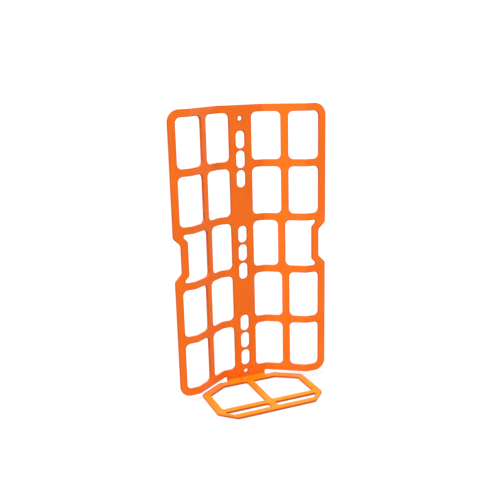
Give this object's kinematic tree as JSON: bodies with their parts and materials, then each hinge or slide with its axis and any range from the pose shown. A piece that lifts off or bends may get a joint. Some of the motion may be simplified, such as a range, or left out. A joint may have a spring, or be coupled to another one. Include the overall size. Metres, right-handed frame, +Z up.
{
  "type": "cargo cage",
  "caption": "Folded sheet-metal load cage with a slotted spine, two windowed wings with strap notches, and a foot shelf, for bolting to a frame or fork.",
  "frame": {"origin": "on the ground under the middle of the bounding box, at the foot shelf's underside", "axes": "+Z up along the spine, -Y towards the load side, +X towards the right wing"},
  "size_m": [0.1086, 0.0546, 0.1934],
  "materials": {
    "powder_coat": "satin"
  },
  "bodies": {
    "root": {"spine": "powder_coat", "right_wing": "powder_coat", "left_wing": "powder_coat", "foot_shelf": "powder_coat"}
  },
  "joints": []
}
